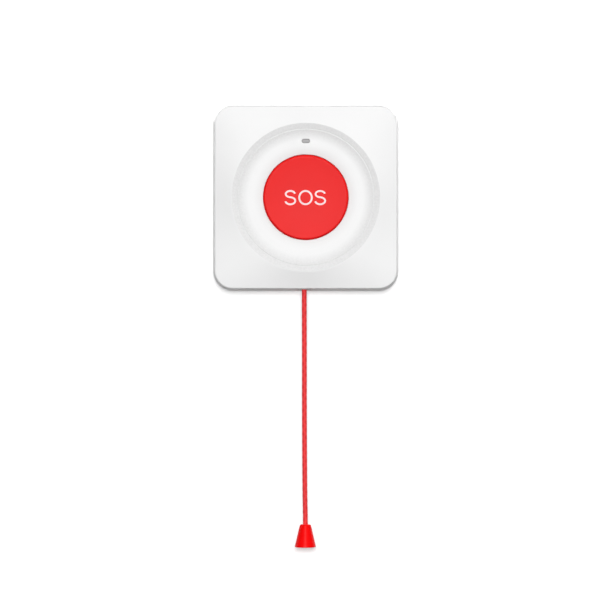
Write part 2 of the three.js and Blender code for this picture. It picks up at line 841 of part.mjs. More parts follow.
// The board's radio module, with its shield
function radioModule() {
  const [x, y] = modulePlace;
  const [width, height] = moduleSize;
  const base = boardFront + solder;
  return box(x - width / 2, x + width / 2, y - height / 2, y + height / 2, base, base + moduleThickness);
}

function radioShield() {
  const [x, y] = modulePlace;
  const [width, height] = moduleSize;
  const base = boardFront + solder + moduleThickness + solder;
  const reach = width / 2 - shieldMargin;
  const [low, high] = [y - height / 2 + shieldMargin, y + height / 2 - shieldMargin - antennaLength];
  return box(x - reach, x + reach, low, high, base, base + shieldHeight);
}

function indicatorLed() {
  const base = boardFront + solder;
  const foot = box(-1.6, 1.6, windowHeight - 0.8, windowHeight + 0.8, base, base + 0.5);
  return foot.add(box(-1, 1, windowHeight - 0.7, windowHeight + 0.7, base + 0.4, base + 1.3));
}

function bulkCapacitor() {
  const base = boardFront + solder;
  const [x, y] = capacitorPlace;
  const foot = capacitorRadius + 0.2;
  const plinth = box(x - foot, x + foot, y - foot, y + foot, base, base + 0.6);
  return plinth.add(bar(x, y, capacitorRadius, base + 0.5, base + 3.1));
}

const cellBack = boardDepth - cellThickness - 0.9;

function batteryHolder() {
  const inner = cellRadius + gap;
  const outer = inner + 1.6;
  const ring = turned(
    [
      [inner, cellBack + 0.5],
      [outer, cellBack + 0.5],
      [outer, boardDepth - solder],
      [inner - 1.5, boardDepth - solder],
      [inner - 1.5, boardDepth - 0.5],
      [inner, boardDepth - 0.5],
      [inner, cellBack + 0.5],
    ],
    26,
  );
  return ring.subtract(box(-3.2, 3.2, cellRadius - 4, outer + 1, cellBack - 1, boardDepth + 1));
}

function batteryCell() {
  return turned(
    [
      [0, cellBack],
      [cellRadius - 0.5, cellBack],
      [cellRadius, cellBack + 0.5],
      [cellRadius, cellBack + cellThickness - 0.9],
      [cellRadius - 1.4, cellBack + cellThickness - 0.5],
      [cellRadius - 1.6, cellBack + cellThickness],
      [0, cellBack + cellThickness],
    ],
    26,
  );
}

// The clip that presses on the cell's side
function contactPlus() {
  const inner = cellRadius + gap;
  const foot = box(-2.2, 2.2, inner, inner + 3.4, boardDepth - 0.4, boardDepth - solder);
  return foot.add(box(-2.2, 2.2, inner, inner + 0.4, cellBack + 1.2, boardDepth - solder));
}

// The strip that presses on the cell's inner face
function contactMinus() {
  const level = cellBack + cellThickness + gap;
  const strip = box(-1.8, 1.8, -7, 7, level, level + 0.25);
  return strip.add(box(-1.8, 1.8, -7, -5, level, boardDepth - solder));
}

function caseScrew([x, y]) {
  const head = wellFloor - gap;
  const profile = [
    [0, head - 1.7],
    [2, head - 1.7],
    [2.5, head - 1.1],
    [2.5, head],
    [1.25, head],
    [1.25, wellTop + screwReach - 1],
    [0, wellTop + screwReach],
  ];
  return crossed(turned(profile, 12, x * screwXY, y * screwXY), x * screwXY, y * screwXY, head - 1.7, 1);
}

function boardScrew([x, y]) {
  const seat = boardFront + solder;
  const profile = [
    [0, seat + 1.5],
    [1.9, seat + 1.5],
    [2.3, seat + 1],
    [2.3, seat],
    [1.1, seat],
    [1.1, boardDepth - 3.6],
    [0, boardDepth - 4.4],
  ];
  return crossed(turned(profile, 12, x, y), x, y, seat + 1.5, -1);
}

// Cuts the cross into a screw's head, inwards from the head's outer face
function crossed(screw, x, y, face, inwards) {
  const [low, high] = [Math.min(face - inwards, face + inwards * 0.9), Math.max(face - inwards, face + inwards * 0.9)];
  return cut(screw, [
    box(x - 1.3, x + 1.3, y - 0.25, y + 0.25, low, high),
    box(x - 0.25, x + 0.25, y - 1.3, y + 1.3, low, high),
  ]);
}

piece("wall_plate", wallPlate(), whitePlastic);
piece("back_housing", backHousing(), whitePlastic);
piece("battery_door", batteryDoor(), whitePlastic);
piece("front_cover", frontCover(), whitePlastic);
piece("sos_button", sosButton(), redPlastic);
piece("button_spring", buttonSpring(), steel);
piece("light_pipe", lightPipe(), greyWindow);
piece("circuit_board", circuitBoard(), greenBoard);
piece("button_switch", keySwitch(), blackPlastic);
piece("button_switch_plunger", keyPlunger(), naturalPlastic);
piece("pull_switch", pullSwitch(), blackPlastic);
piece("pull_switch_plunger", pullSwitchPlunger(), redPlastic);
piece("pull_switch_lever", pullSwitchLever(), steel);
piece("pull_slider", pullSlider(), naturalPlastic);
piece("pull_spring", pullSpring(), steel);
piece("cord_bushing", cordBushing(), whitePlastic);
piece("pull_cord", pullCord(), redCord);
piece("upper_knot", knot(cordX, sliderBottom + 4, knotRadius), redCord);
piece("lower_knot", knot(gripX, cordPoints.at(-1)[1] - gap - gripKnotRadius, gripKnotRadius), redCord);
piece("cord_grip", cordGrip(), redPlastic);
piece("radio_module", radioModule(), greenBoard);
piece("radio_shield", radioShield(), steel);
piece("indicator_led", indicatorLed(), naturalPlastic);
piece("bulk_capacitor", bulkCapacitor(), steel);
piece("battery_holder", batteryHolder(), blackPlastic);
piece("battery_cell", batteryCell(), steel);
piece("battery_contact_plus", contactPlus(), gold);
piece("battery_contact_minus", contactMinus(), gold);
corners.forEach((corner, i) => piece(`case_screw_${i + 1}`, caseScrew(corner), steel));
boardPosts().forEach((post, i) => piece(`board_screw_${i + 1}`, boardScrew(post), steel));

export default alarm;
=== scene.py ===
import json
import math

import bmesh
import bpy
import numpy as np
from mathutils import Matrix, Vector

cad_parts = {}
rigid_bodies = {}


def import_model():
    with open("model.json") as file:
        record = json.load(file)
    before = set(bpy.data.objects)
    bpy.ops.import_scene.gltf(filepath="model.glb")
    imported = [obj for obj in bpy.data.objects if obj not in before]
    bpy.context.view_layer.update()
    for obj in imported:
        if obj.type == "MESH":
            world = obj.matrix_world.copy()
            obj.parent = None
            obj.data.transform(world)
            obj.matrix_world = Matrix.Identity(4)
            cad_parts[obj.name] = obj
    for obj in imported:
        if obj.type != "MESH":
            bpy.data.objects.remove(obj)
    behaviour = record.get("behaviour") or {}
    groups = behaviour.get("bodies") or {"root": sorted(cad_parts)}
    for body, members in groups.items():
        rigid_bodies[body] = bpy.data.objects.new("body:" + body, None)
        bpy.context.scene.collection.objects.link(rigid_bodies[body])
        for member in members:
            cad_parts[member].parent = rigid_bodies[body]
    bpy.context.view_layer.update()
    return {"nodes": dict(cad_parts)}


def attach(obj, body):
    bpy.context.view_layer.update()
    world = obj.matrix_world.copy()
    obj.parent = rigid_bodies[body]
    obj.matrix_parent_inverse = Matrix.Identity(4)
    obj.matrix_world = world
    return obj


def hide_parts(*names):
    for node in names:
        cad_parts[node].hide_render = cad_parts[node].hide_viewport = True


for leftover in list(bpy.data.objects):
    bpy.data.objects.remove(leftover, do_unlink=True)
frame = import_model()
mm = 0.001  # the shapes are written in millimetres

# Camera: straight on, a little below the case, from the distance that the photograph's circles give

cameraLook = {"x": -0.00267, "height": -0.04726, "distance": 1.7, "partingPlane": -0.009, "lens": 220, "sensor": 36,
              "near": 0.05, "far": 20}

cameraData = bpy.data.cameras.new("camera")
cameraData.lens = cameraLook["lens"]
cameraData.sensor_width = cameraLook["sensor"]
cameraData.clip_start, cameraData.clip_end = cameraLook["near"], cameraLook["far"]
camera = bpy.data.objects.new("camera", cameraData)
bpy.context.collection.objects.link(camera)
camera.location = (cameraLook["x"], cameraLook["partingPlane"] - cameraLook["distance"], cameraLook["height"])
camera.rotation_euler = (math.pi / 2, 0, 0)
bpy.context.scene.camera = camera
print("camera placed")


# Shapes worked out on grids. They are drawn in mm as seen from the front: across, up, and out from the wall.

def placed(across, up, out):
    # across stays x, up becomes z, and out from the wall becomes -y, in metres
    return np.stack(np.broadcast_arrays(across * mm, -out * mm, up * mm), axis=-1)


def gridFaces(rows, columns, closedRows):
    # one four-cornered face between each two neighbouring rows and columns; the columns always close on themselves
    r, c = np.meshgrid(np.arange(rows if closedRows else rows - 1), np.arange(columns), indexing="ij")
    nextRow, nextColumn = (r + 1) % rows, (c + 1) % columns
    corners = [r * columns + c, r * columns + nextColumn, nextRow * columns + nextColumn, nextRow * columns + c]
    return np.stack(corners, axis=-1).reshape(-1, 4)


def endFaces(rows, columns):
    # a fan of three-cornered faces from a middle point to the first ring and another to the last one
    c = np.arange(columns)
    nextColumn = (c + 1) % columns
    last = (rows - 1) * columns
    middle = np.full(columns, rows * columns)
    return np.concatenate([
        np.stack([middle, nextColumn, c], axis=-1),
        np.stack([middle + 1, last + c, last + nextColumn], axis=-1),
    ])


def enclosed(points, triangles):
    # the volume inside a closed skin: a sixth of the triple product of each triangle's corners, added up
    a, b, c = points[triangles[:, 0]], points[triangles[:, 1]], points[triangles[:, 2]]
    return np.einsum("ij,ij->i", a, np.cross(b, c)).sum() / 6


def surface(rings, closedRows=False):
    # a closed skin over rings of points, of shape (rows, columns, 3); open ends get a fan each
    rows, columns, _ = rings.shape
    points = rings.reshape(-1, 3)
    quads = gridFaces(rows, columns, closedRows)
    fans = np.empty((0, 3), dtype=int)
    if not closedRows:
        points = np.concatenate([points, rings[:1].mean(axis=1), rings[-1:].mean(axis=1)])
        fans = endFaces(rows, columns)
    centred = points - points.mean(axis=0)
    if enclosed(centred, np.concatenate([quads[:, :3], quads[:, [0, 2, 3]], fans])) < 0:
        quads, fans = quads[:, ::-1], fans[:, ::-1]
    return points, quads.tolist() + fans.tolist()


def together(*skins):
    # several skins as one mesh's points and faces
    points, faces, count = [], [], 0
    for skinPoints, skinFaces in skins:
        points.append(skinPoints)
        faces += [[index + count for index in face] for face in skinFaces]
        count += len(skinPoints)
    return np.concatenate(points), faces


def madePiece(name, skin, body, material, replaced=(), crease=40, even=True):
    # an object from points and faces, smooth but for edges sharper than crease, set on its body
    mesh = bpy.data.meshes.new(name)
    mesh.from_pydata(skin[0].tolist(), [], skin[1])
    mesh.shade_smooth()
    mesh.set_sharp_from_angle(angle=math.radians(crease))
    mesh.materials.append(material)
    made = bpy.data.objects.new(name, mesh)
    bpy.context.collection.objects.link(made)
    if even:
        evenShading(made)
    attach(made, body)
    if replaced:
        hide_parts(*replaced)
    return made


def evenShading(made):
    # broad faces keep their own direction beside the narrow ones of a rounded edge
    made.modifiers.new("even shading", "WEIGHTED_NORMAL").keep_sharp = True


def softened(rows, distances, steps=4, closed=False):
    # each row of points becomes a short quadratic curve from the given distance before it to as far after it, but
    # no further than 0.45 of the way to its neighbours: (1 - t)^2 start + 2 t (1 - t) corner + t^2 end
    rows = np.asarray(rows, dtype=float)
    distances = np.broadcast_to(np.asarray(distances, dtype=float), (len(rows),))
    t = np.linspace(0, 1, steps + 1).reshape((-1,) + (1,) * (rows.ndim - 1))
    pieces = []
    for i, distance in enumerate(distances):
        if distance == 0 or (not closed and i in (0, len(rows) - 1)):
            pieces.append(rows[i:i + 1])
            continue
        corner = rows[i]
        before, after = rows[i - 1] - corner, rows[(i + 1) % len(rows)] - corner
        lengths = [np.linalg.norm(side, axis=-1, keepdims=True) for side in (before, after)]
        start = corner + before / lengths[0] * np.minimum(distance, lengths[0] * 0.45)
        end = corner + after / lengths[1] * np.minimum(distance, lengths[1] * 0.45)
        pieces.append((1 - t) ** 2 * start + 2 * t * (1 - t) * corner + t ** 2 * end)
    return np.concatenate(pieces)


def turned(profile, columns, across=0.0, up=0.0):
    # a profile of (radius, level) turned about an axis that stands on the wall
    profile = np.asarray(profile, dtype=float)
    angle = np.linspace(0, 2 * np.pi, columns, endpoint=False)
    radius = profile[:, :1]
    return placed(across + radius * np.cos(angle), up + radius * np.sin(angle), profile[:, 1:])


def turnedOnCord(profile, columns, across, depth):
    # a profile of (radius, height) turned about an upright axis
    profile = np.asarray(profile, dtype=float)
    angle = np.linspace(0, 2 * np.pi, columns, endpoint=False)
    radius = profile[:, :1]
    return placed(across + radius * np.cos(angle), profile[:, 1:], depth + radius * np.sin(angle))


def oblongReach(angle, length, width):
    # a closed curve round an oblong with round ends: the point of a circle, moved outwards along its length
    radius = width / 2
    return np.sign(np.cos(angle)) * (length - width) / 2 + radius * np.cos(angle), radius * np.sin(angle)


def oblongRings(levels, columns, up):
    # rings of an oblong: one (length, width, level) for each
    angle = (np.arange(columns) + 0.5) * 2 * np.pi / columns
    rings = []
    for length, width, level in levels:
        across, height = oblongReach(angle, length, width)
        rings.append(placed(across, up + height, np.full(columns, level)))
    return np.stack(rings)


def cutAway(made, tools, crease=35):
    # takes the tools' shapes out of a piece, and keeps the result as its mesh
    for tool in tools:
        step = made.modifiers.new("cut", "BOOLEAN")
        step.operation, step.solver, step.object = "DIFFERENCE", "EXACT", tool
    bpy.context.view_layer.update()
    shaped = bpy.data.meshes.new_from_object(made.evaluated_get(bpy.context.evaluated_depsgraph_get()))
    made.modifiers.clear()
    made.data = shaped
    shaped.shade_smooth()
    shaped.set_sharp_from_angle(angle=math.radians(crease))
    evenShading(made)
    for tool in tools:
        bpy.data.objects.remove(tool, do_unlink=True)


def cuttingTool(skin):
    # an object that is only there to be taken out of a piece
    mesh = bpy.data.meshes.new("tool")
    mesh.from_pydata(skin[0].tolist(), [], skin[1])
    tool = bpy.data.objects.new("tool", mesh)
    bpy.context.collection.objects.link(tool)
    return tool


# Finishes

def linear(colour):
    # a screen colour of 0 to 255 as the light it stands for
    share = np.asarray(colour, dtype=float) / 255
    return np.where(share <= 0.04045, share / 12.92, ((share + 0.055) / 1.055) ** 2.4)


def addNode(material, kind, **inputs):
    # a new shader node with the values of its inputs, spaces in their names written as underscores
    node = material.node_tree.nodes.new(kind)
    for name, value in inputs.items():
        node.inputs[name.replace("_", " ")].default_value = value
    return node


def joinNodes(material, *pairs):
    # links from each output to its input
    for source, target in pairs:
        material.node_tree.links.new(source, target)


def noiseField(material, coordinates, size, detail=2.0, stretch=(1, 1, 1)):
    # soft patches of about the given size in mm, drawn out along the axes by stretch
    mapping = addNode(material, "ShaderNodeMapping", Scale=stretch)
    noise = addNode(material, "ShaderNodeTexNoise", Scale=1000 / size, Detail=detail, Roughness=0.5)
    joinNodes(material, (coordinates.outputs["Object"], mapping.inputs["Vector"]),
              (mapping.outputs["Vector"], noise.inputs["Vector"]))
    return noise.outputs["Fac"]


def between(material, field, low, high, span=(0.3, 0.7)):
    # a number that runs from low to high with a field
    ramp = addNode(material, "ShaderNodeMapRange")
    for index, value in enumerate((*span, low, high)):
        ramp.inputs[index + 1].default_value = value
    joinNodes(material, (field, ramp.inputs[0]))
    return ramp.outputs[0]


def colourBetween(material, field, first, second):
    # a colour that runs from the first to the second with a field
    mix = addNode(material, "ShaderNodeMix")
    mix.data_type = "RGBA"
    mix.inputs[6].default_value = (*first, 1)
    mix.inputs[7].default_value = (*second, 1)
    joinNodes(material, (field, mix.inputs[0]))
    return mix.outputs[2]


def darkenedBy(material, colour, shade):
    # the product of two colours
    mix = addNode(material, "ShaderNodeMix")
    mix.data_type, mix.blend_type = "RGBA", "MULTIPLY"
    mix.inputs[0].default_value = 1
    joinNodes(material, (colour, mix.inputs[6]), (shade, mix.inputs[7]))
    return mix.outputs[2]


def bumped(material, field, depth, after=None):
    # the surface's relief, of the given depth in mm, on top of another relief
    bump = addNode(material, "ShaderNodeBump", Strength=1.0, Distance=depth * mm)
    joinNodes(material, (field, bump.inputs["Height"]))
    if after:
        joinNodes(material, (after, bump.inputs["Normal"]))
    return bump.outputs["Normal"]


def startMaterial(name):
    # a new material, its shader and its coordinates
    material = bpy.data.materials.new(name)
    material.use_nodes = True
    shader = material.node_tree.nodes["Principled BSDF"]
    coordinates = material.node_tree.nodes.new("ShaderNodeTexCoord")
    return material, shader, coordinates


def darkenedRing(material, coordinates, ring, base, relief):
    # a ring round the button's axis, darker in colour, speckled and bumped; next to the button's hole it is painted
    # shade.
    # It comes in from start to full and goes out from end over fade, all as distances from the axis
    flat = addNode(material, "ShaderNodeMapping", Scale=(1000, 0, 1000))
    distance = material.node_tree.nodes.new("ShaderNodeVectorMath")
    distance.operation = "LENGTH"
    joinNodes(material, (coordinates.outputs["Object"], flat.inputs["Vector"]),
              (flat.outputs[0], distance.inputs[0]))
    away = distance.outputs["Value"]
    inside = between(material, away, 0, 1, (ring["start"], ring["full"]))
    outside = between(material, away, 1, 0, (ring["end"], ring["end"] + ring["fade"]))
    amount = material.node_tree.nodes.new("ShaderNodeMath")
    amount.operation = "MULTIPLY"
    speck = noiseField(material, coordinates, ring["speck"], detail=2)
    joinNodes(material, (inside, amount.inputs[0]), (outside, amount.inputs[1]))
    darkest, dark = np.full(3, ring["darkest"]), np.full(3, ring["dark"])
    tone = colourBetween(material, between(material, speck, 0, 1), darkest, dark)
    shade = colourBetween(material, amount.outputs[0], (1, 1, 1), (1, 1, 1))
    bump = addNode(material, "ShaderNodeBump", Distance=ring["depth"] * mm)
    joinNodes(material, (tone, shade.node.inputs[7]), (speck, bump.inputs["Height"]),
              (amount.outputs[0], bump.inputs["Strength"]), (relief, bump.inputs["Normal"]))
    return darkenedBy(material, base, shade), bump.outputs["Normal"]


def mouldedPlastic(name, look):
    # a moulded surface: faint patches of tone, the fine grain of the mould, and a slow wave of the wall's thickness
    material, shader, coordinates = startMaterial(name)
    colour = linear(look["colour"])
    patches = noiseField(material, coordinates, look["patch"], detail=3)
    grain = noiseField(material, coordinates, look["grain"], detail=1)
    wave = noiseField(material, coordinates, look["wave"], detail=1)
    base = colourBetween(material, between(material, patches, 0, 1), colour * (1 - look["tone"]), colour)
    rough = between(material, grain, look["roughness"] - look["spread"], look["roughness"] + look["spread"])
    relief = bumped(material, grain, look["grainDepth"], bumped(material, wave, look["waveDepth"]))
    for ring in look.get("rings", ()):
        base, relief = darkenedRing(material, coordinates, ring, base, relief)
    joinNodes(material, (base, shader.inputs["Base Color"]), (rough, shader.inputs["Roughness"]),
              (relief, shader.inputs["Normal"]))
    shader.inputs["Specular IOR Level"].default_value = look.get("specular", 0.5)
    return material


plasticLooks = {
    "coverWhite": {"colour": (240, 240, 240), "tone": 0.012, "patch": 14, "roughness": 0.56, "spread": 0.05,
                   "grain": 0.22, "grainDepth": 0.004, "wave": 22, "waveDepth": 0.03, "specular": 0.3,
                   "rings": (
                       # first ring: the flank's outer part and the band, darker and speckled
                       {"start": 26.5, "full": 30.5, "end": 34.1, "fade": 0.2, "speck": 0.8, "darkest": 0.83,
                        "dark": 0.895, "depth": 0.024},
                       # second ring: painted shade, darker next to the button's hole where the raised button shades
                       # the dish
                       {"start": 19.0, "full": 19.5, "end": 20.6, "fade": 3.4, "speck": 0.8, "darkest": 0.93,
                        "dark": 0.95, "depth": 0.004},
                   )},
    "trayWhite": {"colour": (236, 236, 235), "tone": 0.015, "patch": 11, "roughness": 0.5, "spread": 0.06,
                  "grain": 0.3, "grainDepth": 0.007, "wave": 18, "waveDepth": 0.03},
    "plateWhite": {"colour": (232, 232, 231), "tone": 0.02, "patch": 9, "roughness": 0.55, "spread": 0.06,
                   "grain": 0.35, "grainDepth": 0.009, "wave": 16, "waveDepth": 0.03},
    "bushingWhite": {"colour": (226, 226, 225), "tone": 0.02, "patch": 2, "roughness": 0.45, "spread": 0.05,
                     "grain": 0.2, "grainDepth": 0.004, "wave": 5, "waveDepth": 0.01},
    "buttonRed": {"colour": (234, 20, 20), "tone": 0.03, "patch": 10, "roughness": 0.4, "spread": 0.04,
                  "grain": 0.2, "grainDepth": 0.003, "wave": 15, "waveDepth": 0.02, "specular": 0.075},
    "gripRed": {"colour": (252, 2, 4), "tone": 0.04, "patch": 3, "roughness": 0.33, "spread": 0.03,
                "grain": 0.25, "grainDepth": 0.002, "wave": 4, "waveDepth": 0.02, "specular": 0.12},
    "labelWhite": {"colour": (250, 226, 229), "tone": 0.02, "patch": 1, "roughness": 0.5, "spread": 0.05,
                   "grain": 0.12, "grainDepth": 0.002, "wave": 3, "waveDepth": 0.004, "specular": 0.1},
    "windowGrey": {"colour": (176, 174, 175), "tone": 0.05, "patch": 1.6, "roughness": 0.5, "spread": 0.03,
                   "grain": 0.15, "grainDepth": 0.001, "wave": 2, "waveDepth": 0.01, "specular": 0.15},
    "switchBlack": {"colour": (30, 30, 32), "tone": 0.1, "patch": 3, "roughness": 0.5, "spread": 0.08,
                    "grain": 0.12, "grainDepth": 0.006, "wave": 4, "waveDepth": 0.01},
    "naturalNylon": {"colour": (226, 223, 212), "tone": 0.05, "patch": 3, "roughness": 0.4, "spread": 0.06,
                     "grain": 0.15, "grainDepth": 0.004, "wave": 5, "waveDepth": 0.02},
    "plungerRed": {"colour": (190, 36, 34), "tone": 0.06, "patch": 1, "roughness": 0.4, "spread": 0.05,
                   "grain": 0.1, "grainDepth": 0.002, "wave": 2, "waveDepth": 0.005},
    "capacitorSleeve": {"colour": (58, 60, 68), "tone": 0.12, "patch": 1.5, "roughness": 0.35, "spread": 0.06,
                        "grain": 0.1, "grainDepth": 0.003, "wave": 2, "waveDepth": 0.01},
    "lampLens": {"colour": (236, 232, 196), "tone": 0.06, "patch": 0.8, "roughness": 0.2, "spread": 0.03,
                 "grain": 0.1, "grainDepth": 0.001, "wave": 1, "waveDepth": 0.004},
}
plastics = {name: mouldedPlastic(name, look) for name, look in plasticLooks.items()}

metalWear = {"dull": 0.82, "smoother": 0.06, "rougher": 0.1}


def drawnMetal(name, look):
    # metal with fine lines along one axis, dull patches, and a faint second tone
    material, shader, coordinates = startMaterial(name)
    colour = linear(look["colour"])
    lines = noiseField(material, coordinates, look["line"], detail=4, stretch=look["stretch"])
    patches = noiseField(material, coordinates, look["patch"], detail=3)
    base = colourBetween(material, between(material, patches, 0, 1), colour * metalWear["dull"], colour)
    low, high = look["roughness"] - metalWear["smoother"], look["roughness"] + metalWear["rougher"]
    rough = between(material, patches, low, high)
    joinNodes(material, (base, shader.inputs["Base Color"]), (rough, shader.inputs["Roughness"]),
              (bumped(material, lines, look["depth"]), shader.inputs["Normal"]))
    shader.inputs["Metallic"].default_value = 1
    return material


metalLooks = {
    "springSteel": {"colour": (200, 202, 205), "line": 0.4, "stretch": (1, 1, 1), "patch": 2, "roughness": 0.28,
                    "depth": 0.003},
    "zincScrew": {"colour": (196, 199, 204), "line": 0.5, "stretch": (1, 1, 1), "patch": 1.2, "roughness": 0.33,
                  "depth": 0.006},
    "tinnedShield": {"colour": (205, 206, 204), "line": 0.6, "stretch": (0.1, 1, 1), "patch": 4, "roughness": 0.36,
                     "depth": 0.004},
    "cellSteel": {"colour": (208, 209, 211), "line": 0.5, "stretch": (1, 1, 0.08), "patch": 7, "roughness": 0.3,
                  "depth": 0.003},
    "goldContact": {"colour": (226, 184, 106), "line": 0.4, "stretch": (0.2, 1, 1), "patch": 2, "roughness": 0.27,
                    "depth": 0.003},
}
metals = {name: drawnMetal(name, look) for name, look in metalLooks.items()}


def boardFinish(name, look):
    # solder resist with the tracks showing through as a slightly lighter, raised net
    material, shader, coordinates = startMaterial(name)
    mapping = addNode(material, "ShaderNodeMapping", Rotation=(math.pi / 2, 0, 0), Scale=(1000, 1000, 1000))
    bricks = addNode(material, "ShaderNodeTexBrick", Scale=1 / look["track"], Mortar_Size=look["line"], Bias=0.0)
    grain = noiseField(material, coordinates, look["grain"], detail=2)
    joinNodes(material, (coordinates.outputs["Object"], mapping.inputs["Vector"]),
              (mapping.outputs["Vector"], bricks.inputs["Vector"]))
    base = colourBetween(material, bricks.outputs["Fac"], linear(look["colour"]), linear(look["trackColour"]))
    rough = between(material, grain, look["smooth"], look["rough"])
    relief = bumped(material, grain, look["grainDepth"], bumped(material, bricks.outputs["Fac"], look["trackDepth"]))
    joinNodes(material, (base, shader.inputs["Base Color"]), (rough, shader.inputs["Roughness"]),
              (relief, shader.inputs["Normal"]))
    return material


resist = {"line": 0.08, "grain": 0.3, "smooth": 0.32, "rough": 0.46, "grainDepth": 0.004, "trackDepth": 0.03}
boardLooks = {
    "boardGreen": {**resist, "colour": (30, 92, 52), "trackColour": (52, 128, 74), "track": 3.1},
    "moduleGreen": {**resist, "colour": (26, 70, 84), "trackColour": (46, 104, 112), "track": 1.7},
}
boards = {name: boardFinish(name, look) for name, look in boardLooks.items()}


def cordFinish(name, look):
    # woven yarn with painted shade, darker in the furrows where strands cross under and lighter on crowns; fine fibres
    # along it
    material, shader, coordinates = startMaterial(name)
    rise = addNode(material, "ShaderNodeAttribute")
    rise.attribute_name = "rise"
    fibres = noiseField(material, coordinates, look["fibre"], detail=3, stretch=(1, 1, look["fibreDrawn"]))
    patches = noiseField(material, coordinates, look["patch"], detail=2)
    furrowShade, top = linear(look["furrowShade"]), linear(look["top"])
    shadedBraid = colourBetween(material, between(material, rise.outputs["Fac"], 0, 1, (0, 1)), furrowShade, top)
    shade = colourBetween(material, between(material, patches, 0, 1), np.full(3, look["worn"]), (1, 1, 1))
    rough = between(material, fibres, look["roughness"] - look["spread"], look["roughness"] + look["spread"])
    joinNodes(material, (darkenedBy(material, shadedBraid, shade), shader.inputs["Base Color"]),
              (rough, shader.inputs["Roughness"]),
              (bumped(material, fibres, look["fibreDepth"]), shader.inputs["Normal"]))
    shader.inputs["Sheen Weight"].default_value = look["sheen"]
    shader.inputs["Sheen Roughness"].default_value = look["sheenRoughness"]
    shader.inputs["Specular IOR Level"].default_value = look["specular"]
    return material


# furrowShade and top: the braid's painted shade, darker in the furrows, lighter on the strands' crowns
yarnLook = {"furrowShade": (226, 34, 38), "top": (246, 52, 55), "fibre": 0.25, "fibreDrawn": 0.35, "fibreDepth": 0.02,
            "patch": 3, "worn": 0.9, "roughness": 0.62, "spread": 0.08, "sheen": 0.25, "sheenRoughness": 0.5,
            "specular": 0.35}
cordRed = cordFinish("cordRed", yarnLook)
print("finishes made")


# Pull cord: braided, from the slider's knot to the grip's knot. The route repeats the part's own points.

cordLook = {"radius": 1.15, "sides": 30, "step": 0.3, "strands": 3, "period": 3.6, "relief": 0.04}
cordRoute = np.array([
    [-0.7, -28, 15.6], [-0.7, -36, 15.6], [-0.7, -44, 15.6], [-0.67, -56, 15.6], [-0.63, -76, 15.65],
    [-0.62, -98, 15.7], [-0.52, -120, 15.7], [-0.36, -138, 15.65], [-0.2, -148, 15.6], [-0.2, -153.3, 15.6],
])
cordTop, cordFoot = cordRoute[0], cordRoute[-1]


def smoothRoute(points, step):
    # a smooth line through the points: each stretch follows a cubic whose slopes at its ends are those of the
    # chords between the neighbours, set out by height
    heights = np.arange(points[0, 1], points[-1, 1], -step)
    heights = np.append(heights, points[-1, 1])
    up = points[:, 1]
    slopes = np.gradient(points[:, [0, 2]], up, axis=0)
    index = np.clip(np.searchsorted(-up, -heights, side="right") - 1, 0, len(up) - 2)
    span = up[index + 1] - up[index]
    t = ((heights - up[index]) / span)[:, None]
    span = span[:, None]
    sides = points[:, [0, 2]]
    line = ((2 * t ** 3 - 3 * t ** 2 + 1) * sides[index] + (t ** 3 - 2 * t ** 2 + t) * span * slopes[index]
            + (3 * t ** 2 - 2 * t ** 3) * sides[index + 1] + (t ** 3 - t ** 2) * span * slopes[index + 1])
    return np.stack([line[:, 0], heights, line[:, 1]], axis=-1)


def strandRise(angle, along, strands, period):
    # 1 on the crown of a strand and 0 in the furrows, for yarns that wind both ways round the cord
    one = np.cos(strands * angle + 2 * np.pi * along / period)
    other = np.cos(strands * angle - 2 * np.pi * along / period)
    return 0.5 + 0.5 * np.maximum(one, other)


def keepRise(made, rise):
    # leaves each point's rise on the mesh, for the cord's finish, which paints shade in the furrows from it
    values = np.zeros(len(made.data.vertices))
    values[:rise.size] = rise.ravel()
    made.data.attributes.new("rise", "FLOAT", "POINT").data.foreach_set("value", values)


line = smoothRoute(cordRoute, cordLook["step"])
along = np.concatenate([[0], np.cumsum(np.linalg.norm(np.diff(line, axis=0), axis=1))])
angle = np.linspace(0, 2 * np.pi, cordLook["sides"], endpoint=False)
rise = strandRise(angle[None, :], along[:, None], cordLook["strands"], cordLook["period"])
radius = cordLook["radius"] * (1 + cordLook["relief"] * (rise - 0.75))
cordRings = placed(line[:, :1] + radius * np.cos(angle), line[:, 1:2] + 0 * angle,
                   line[:, 2:] + radius * np.sin(angle))
pullCord = madePiece("braided_cord", surface(cordRings), "pull", cordRed, ["pull_cord"],
                     crease=80, even=False)
# the rise sets the painted shade in the braid's furrows
keepRise(pullCord, rise)


# Knots: the cord's own turns drawn tight, as a lump whose furrows run slantwise round it

knotTurns = {"rows": 40, "columns": 48, "swell": 0.14, "waist": 0.33, "furrow": 0.07, "slant": 2.5}
knotLooks = {
    "grip_knot": {"radius": 1.75, "end": cordFoot, "beyond": -2.05, "replaced": "lower_knot"},
    "slider_knot": {"radius": 2.1, "end": cordTop, "beyond": 2.4, "replaced": "upper_knot"},
}


